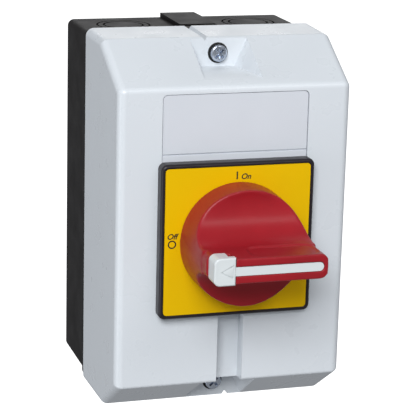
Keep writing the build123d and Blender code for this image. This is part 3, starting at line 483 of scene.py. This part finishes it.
LEGEND_FRONT_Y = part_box("legend_plate")[0][1] / MM
PRINT_HALF_THICKNESS = 0.012
WORD_SIZE = 2.9
WORD_SLANT = 0.25
WORD_CORNER_DISTANCE = 1e-6
STROKE_GROWTH = 0.065
BAR_WIDTH = 0.52
BAR_HEIGHT = 2.9
BAR_ROUNDING = 0.05
RING_OUTER_RADIUS = 1.58
RING_INNER_RADIUS = 1.10
RING_SIDES = 48
# Where each print stands on the legend, as (x, z) in millimetres; a word's place is its lower left.
ON_BAR_PLACE = (-0.7, 24.3)
ON_WORD_PLACE = (0.7, 22.85)
OFF_WORD_PLACE = (-26.8, 1.5)
OFF_RING_PLACE = (-24.8, -0.5)


def text_mesh(name, body):
    """The mesh of a short generic word, drawn with Blender's own font."""
    curve = bpy.data.curves.new(name, "FONT")
    curve.body = body
    curve.size = WORD_SIZE * MM
    curve.shear = WORD_SLANT
    curve.extrude = PRINT_HALF_THICKNESS * MM
    curve.offset = STROKE_GROWTH * MM
    curve.resolution_u = 6
    holder = bpy.data.objects.new(name, curve)
    scene.collection.objects.link(holder)
    bpy.context.view_layer.update()
    graph = bpy.context.evaluated_depsgraph_get()
    mesh = bpy.data.meshes.new_from_object(holder.evaluated_get(graph))
    bpy.data.objects.remove(holder)
    build = bmesh.new()
    build.from_mesh(mesh)
    bmesh.ops.remove_doubles(build, verts=build.verts, dist=WORD_CORNER_DISTANCE)
    build.to_mesh(mesh)
    build.free()
    return mesh


def print_on_legend(name, mesh, place):
    """Stands a flat mesh upright on the yellow legend, in black ink, at a place (x, z)."""
    x, z = place
    turn = Matrix.Rotation(math.radians(90), 4, "X")
    move = Matrix.Translation(Vector((x, LEGEND_FRONT_Y - PRINT_HALF_THICKNESS, z)) * MM)
    mesh.transform(move @ turn)
    piece = new_object(name, mesh)
    piece.data.materials.clear()
    piece.data.materials.append(INK)
    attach(piece, body_of["legend_plate"])


def ring_mesh(name):
    """The mesh of the thin ring that stands for off."""
    build = bmesh.new()
    rings = []
    for radius, height in (
        (RING_OUTER_RADIUS, -PRINT_HALF_THICKNESS),
        (RING_OUTER_RADIUS, PRINT_HALF_THICKNESS),
        (RING_INNER_RADIUS, PRINT_HALF_THICKNESS),
        (RING_INNER_RADIUS, -PRINT_HALF_THICKNESS),
    ):
        rings.append([
            build.verts.new((
                radius * MM * math.cos(2 * math.pi * step / RING_SIDES),
                radius * MM * math.sin(2 * math.pi * step / RING_SIDES),
                height * MM,
            ))
            for step in range(RING_SIDES)
        ])
    for low, high in zip(rings, rings[1:] + rings[:1]):
        for step in range(RING_SIDES):
            after = (step + 1) % RING_SIDES
            build.faces.new((low[step], low[after], high[after], high[step]))
    bmesh.ops.recalc_face_normals(build, faces=build.faces)
    return mesh_from(build, name)


def bar_mesh(name):
    """The mesh of the upright bar that stands for on, its four corners rounded."""
    build = bmesh.new()
    bmesh.ops.create_cube(build, size=1.0)
    size = Vector((BAR_WIDTH, BAR_HEIGHT, 2 * PRINT_HALF_THICKNESS)) * MM
    for vert in build.verts:
        vert.co = vert.co * size
    corners = [edge for edge in build.edges if edge.verts[0].co.z != edge.verts[1].co.z]
    bmesh.ops.bevel(build, geom=corners, offset=BAR_ROUNDING * MM, segments=2, affect="EDGES")
    return mesh_from(build, name)


def make_legend_print():
    """The bar and the word for on above the handle, the word and the ring for off at its left."""
    print_on_legend("mark_on_bar", bar_mesh("mark_on_bar"), ON_BAR_PLACE)
    print_on_legend("mark_on_word", text_mesh("mark_on_word", "On"), ON_WORD_PLACE)
    print_on_legend("mark_off_word", text_mesh("mark_off_word", "Off"), OFF_WORD_PLACE)
    print_on_legend("mark_off_ring", ring_mesh("mark_off_ring"), OFF_RING_PLACE)


make_legend_print()


# ------------------------------------------------------------------ cover screws

SCREWS_BACK_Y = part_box("cover_screws")[1][1] / MM
HEAD_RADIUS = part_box("cover_screws")[1][0] / MM
HEAD_SIDES = 64
HEAD_ROUNDING = 0.62
HEAD_HEIGHT = 2.3
# The dome, as shares of the head's radius and how far each stands behind the middle of its face.
DOME = ((0.45, 0.02), (0.72, 0.10))
DOME_HEIGHT = 0.14
UNDERCUT = 0.05
SHANK_RADIUS = 2.0
SHANK_TIP_RADIUS = 1.5
SHANK_TIP_LENGTH = 0.5
COVER_SCREW_Z = 64.0
# Each arm of the recess: its angle in degrees, its length, its width and its depth. At the bottom
# it has the shares below of its length and width.
RECESS_ARMS = ((45, 4.6, 1.0, 1.5), (-45, 4.6, 1.0, 1.5), (90, 5.0, 0.5, 0.6))
RECESS_BOTTOM_WIDTH = 0.45
RECESS_BOTTOM_LENGTH = 0.7525
RECESS_CLEARANCE = 0.4
SCREW_EDGE = 0.05


def lathe(build, profile, sides, centre):
    """Turns a profile of (radius, depth) round an axis along Y at a centre."""
    x0, z0 = centre
    rings = []
    for radius, depth in profile:
        if radius == 0:
            rings.append([build.verts.new((x0 * MM, depth * MM, z0 * MM))])
            continue
        rings.append([
            build.verts.new((
                (x0 + radius * math.cos(2 * math.pi * step / sides)) * MM,
                depth * MM,
                (z0 + radius * math.sin(2 * math.pi * step / sides)) * MM,
            ))
            for step in range(sides)
        ])
    for low, high in zip(rings, rings[1:]):
        for step in range(sides):
            after = (step + 1) % sides
            if len(low) == 1:
                build.faces.new((low[0], high[after], high[step]))
            elif len(high) == 1:
                build.faces.new((low[step], low[after], high[0]))
            else:
                build.faces.new((low[step], low[after], high[after], high[step]))


def recess_tool(centre, face_y, arm):
    """A tapered bar across a screw head, narrower at its bottom, for one arm of the recess."""
    angle, length, width, depth = arm
    x0, z0 = centre
    turn = Matrix.Rotation(math.radians(angle), 3, "Y")
    build = bmesh.new()
    corners = []
    for y, half_length, half_width in (
        (face_y - RECESS_CLEARANCE, length / 2, width / 2),
        (face_y + depth, length / 2 * RECESS_BOTTOM_LENGTH, width / 2 * RECESS_BOTTOM_WIDTH),
    ):
        for u, v in ((-1, -1), (1, -1), (1, 1), (-1, 1)):
            flat = turn @ Vector((u * half_length, 0, v * half_width))
            corners.append(build.verts.new(((x0 + flat.x) * MM, y * MM, (z0 + flat.z) * MM)))
    for quad in ((0, 1, 2, 3), (7, 6, 5, 4), (0, 4, 5, 1), (1, 5, 6, 2), (2, 6, 7, 3), (3, 7, 4, 0)):
        build.faces.new([corners[index] for index in quad])
    bmesh.ops.recalc_face_normals(build, faces=build.faces)
    return new_object("recess_tool", mesh_from(build, "recess_tool"))


def screw_front(side):
    """How far forward the screw head on one side of the cover stands, in millimetres."""
    ys = [v.co.y for v in frame["nodes"]["cover_screws"].data.vertices if v.co.z * side > 0]
    return min(ys) / MM


def screw_profile(front):
    """The outline of a screw as (radius, depth): a low dome, a rounded rim and a plain shank."""
    profile = [(0, front)]
    profile += [(HEAD_RADIUS * share, front + drop) for share, drop in DOME]
    for step in range(7):
        angle = math.radians(15 * step)
        profile.append((
            HEAD_RADIUS - HEAD_ROUNDING + HEAD_ROUNDING * math.sin(angle),
            front + DOME_HEIGHT + HEAD_ROUNDING * (1 - math.cos(angle)),
        ))
    return profile + [
        (HEAD_RADIUS, front + HEAD_HEIGHT),
        (SHANK_RADIUS, front + HEAD_HEIGHT + UNDERCUT),
        (SHANK_RADIUS, SCREWS_BACK_Y - SHANK_TIP_LENGTH),
        (SHANK_TIP_RADIUS, SCREWS_BACK_Y),
        (0, SCREWS_BACK_Y),
    ]


def make_cover_screws():
    """Both captive screws: low domed heads with a cross recess, and their shanks."""
    for name, side in (("cover_screw_upper", 1), ("cover_screw_lower", -1)):
        centre = (0.0, side * COVER_SCREW_Z)
        front = screw_front(side)
        build = bmesh.new()
        lathe(build, screw_profile(front), HEAD_SIDES, centre)
        bmesh.ops.recalc_face_normals(build, faces=build.faces)
        piece = new_object(name, mesh_from(build, name))
        for arm in RECESS_ARMS:
            cut_with(piece, recess_tool(centre, front, arm))
        softened(piece, SCREW_EDGE * MM, segments=2, angle=40)
        finish_piece(piece, "cover_screws")
        if side > 0:
            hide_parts("cover_screws")


make_cover_screws()


# ------------------------------------------------------------------ stage and light

FLOOR_Z = -0.75
AMBIENT = 0.29
KEY_POWER = 31.5
EDGE_POWER = 2.0
SIDE_POWER = 3.4
BACK_POWER = 1.4
LIGHT_TARGET = Vector((0, -0.06, 0))


def add_floor():
    """A wide white floor below the part, which hangs on a wall in use. It throws no light back."""
    build = bmesh.new()
    bmesh.ops.create_grid(build, x_segments=8, y_segments=8, size=6.0)
    floor = new_object("floor", mesh_from(build, "floor"))
    floor.location.z = FLOOR_Z
    pale = Nodes("floor_pale", (0.9, 0.9, 0.9), 0.9)
    pale.vary_color(pale.noise(3.0, 2.0), 0.99, 1.01)
    pale.shader.inputs["Emission Color"].default_value = (1, 1, 1, 1)
    pale.shader.inputs["Emission Strength"].default_value = 1.0
    floor.data.materials.append(pale.material)
    floor.visible_diffuse = False
    floor.visible_glossy = False
    floor.visible_shadow = False


def add_area(name, position, size, power, color=(1, 1, 1)):
    """A rectangular lamp that faces the part."""
    data = bpy.data.lights.new(name, "AREA")
    data.shape = "RECTANGLE"
    data.size, data.size_y = size
    data.energy = power
    data.color = color
    light = bpy.data.objects.new(name, data)
    scene.collection.objects.link(light)
    light.location = position
    aim = LIGHT_TARGET - Vector(position)
    light.rotation_euler = aim.to_track_quat("-Z", "Y").to_euler()


def add_world():
    """White behind the part for the camera, and a dim even light for everything else."""
    world = bpy.data.worlds.new("world")
    scene.world = world
    world.use_nodes = True
    tree = world.node_tree
    tree.nodes.clear()
    output = tree.nodes.new("ShaderNodeOutputWorld")
    white = tree.nodes.new("ShaderNodeBackground")
    white.inputs["Color"].default_value = (1, 1, 1, 1)
    white.inputs["Strength"].default_value = 1.0
    soft = tree.nodes.new("ShaderNodeBackground")
    soft.inputs["Color"].default_value = (0.95, 0.97, 1, 1)
    soft.inputs["Strength"].default_value = AMBIENT
    rays = tree.nodes.new("ShaderNodeLightPath")
    mix = tree.nodes.new("ShaderNodeMixShader")
    tree.links.new(rays.outputs["Is Camera Ray"], mix.inputs["Fac"])
    tree.links.new(soft.outputs["Background"], mix.inputs[1])
    tree.links.new(white.outputs["Background"], mix.inputs[2])
    tree.links.new(mix.outputs["Shader"], output.inputs["Surface"])


add_floor()
add_world()
add_area("key_light", (-0.65, -1.55, 1.05), (1.0, 0.8), KEY_POWER, (0.97, 0.99, 1.0))
add_area("edge_light", (0.45, -1.1, 1.0), (0.50, 0.24), EDGE_POWER)
add_area("side_light", (-1.30, -0.50, -0.35), (0.20, 1.1), SIDE_POWER, (0.93, 0.96, 1.0))
add_area("back_light", (0.35, 1.30, 0.45), (0.9, 0.3), BACK_POWER)
scene.view_settings.view_transform = "Standard"
